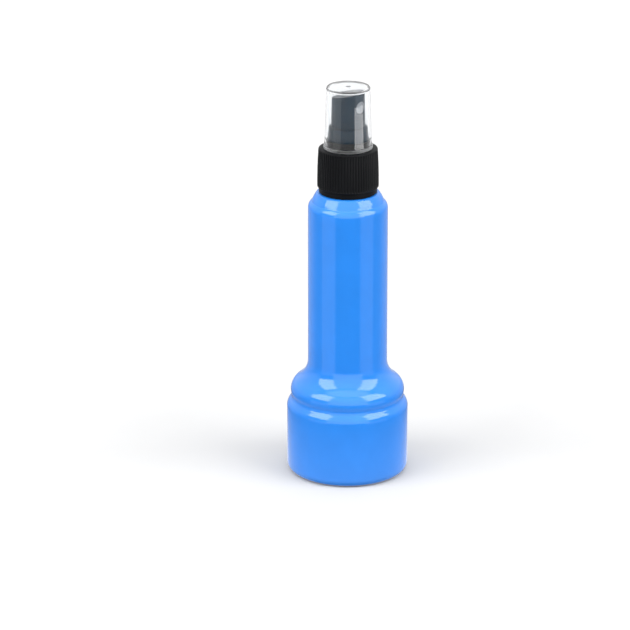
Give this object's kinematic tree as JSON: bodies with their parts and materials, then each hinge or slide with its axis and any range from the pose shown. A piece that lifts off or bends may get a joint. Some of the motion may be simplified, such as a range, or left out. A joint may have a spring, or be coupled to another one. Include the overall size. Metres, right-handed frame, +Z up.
{
  "type": "lens cleaning spray bottle",
  "caption": "Waisted round bottle with a screw-on fine-mist pump, swivelling push-down actuator and clear lift-off hood, for spraying cleaning fluid onto lenses.",
  "frame": {"origin": "centre of the bottle's foot, on the plane it stands on", "axes": "+Z up the bottle's axis, -Y the way the nozzle sprays"},
  "size_m": [0.0458, 0.0458, 0.151],
  "materials": {
    "bottle_blue": "glossy moulded, solid sky blue",
    "fluid": "clear pale blue liquid",
    "gasket": "soft white foam polyethylene",
    "natural_plastic": "natural milky polypropylene",
    "tube_plastic": "translucent extruded polyethylene",
    "steel": "bright stainless",
    "seal_rubber": "soft black rubber",
    "collar_plastic": "natural milky polypropylene",
    "piston_plastic": "white polyethylene",
    "closure_black": "satin black, finely ribbed",
    "actuator_black": "satin-gloss black",
    "nozzle_plastic": "natural grey moulded insert",
    "clear_hood": "clear glossy polystyrene"
  },
  "bodies": {
    "bottle": {"bottle": "bottle_blue", "cleaning_fluid": "fluid"},
    "pump": {"pump_housing": "natural_plastic", "dip_tube": "tube_plastic", "neck_gasket": "gasket", "stem_seal": "seal_rubber", "housing_collar": "collar_plastic", "return_spring": "steel"},
    "closure": {"screw_closure": "closure_black"},
    "overcap": {"overcap": "clear_hood"},
    "stem": {"stem": "natural_plastic", "spindle": "natural_plastic"},
    "piston": {"piston": "piston_plastic"},
    "actuator": {"actuator": "actuator_black", "nozzle_insert": "nozzle_plastic"},
    "ball": {"inlet_ball": "steel"}
  },
  "joints": [
    {"name": "pump_lift", "type": "slide", "parent": "bottle", "child": "pump", "axis": [0, 0, 1], "range_m": [0, 0.00476]},
    {"name": "closure_turn", "type": "hinge", "parent": "pump", "child": "closure", "pos_m": [0, 0, 0.1265], "axis": [0, 0, 1], "range_deg": [0, 540]},
    {"name": "overcap_lift", "type": "slide", "parent": "closure", "child": "overcap", "axis": [0, 0, 1], "range_m": [0, 0.03]},
    {"name": "stem_press", "type": "slide", "parent": "pump", "child": "stem", "axis": [0, 0, -1], "range_m": [0, 0.0038], "stiffness_N_per_m": 1500, "deforming": ["return_spring"]},
    {"name": "actuator_swivel", "type": "hinge", "parent": "stem", "child": "actuator", "pos_m": [0, 0, 0.1365], "axis": [0, 0, 1], "continuous": true},
    {"name": "piston_slip", "type": "slide", "parent": "stem", "child": "piston", "axis": [0, 0, 1], "range_m": [0, 0.0008]},
    {"name": "ball_lift", "type": "slide", "parent": "pump", "child": "ball", "axis": [0, 0, 1], "range_m": [0, 0.0008]}
  ],
  "couplings": [
    {"joint": "pump_lift", "follows": "closure_turn", "m_per_rad": 0.00050532}
  ]
}
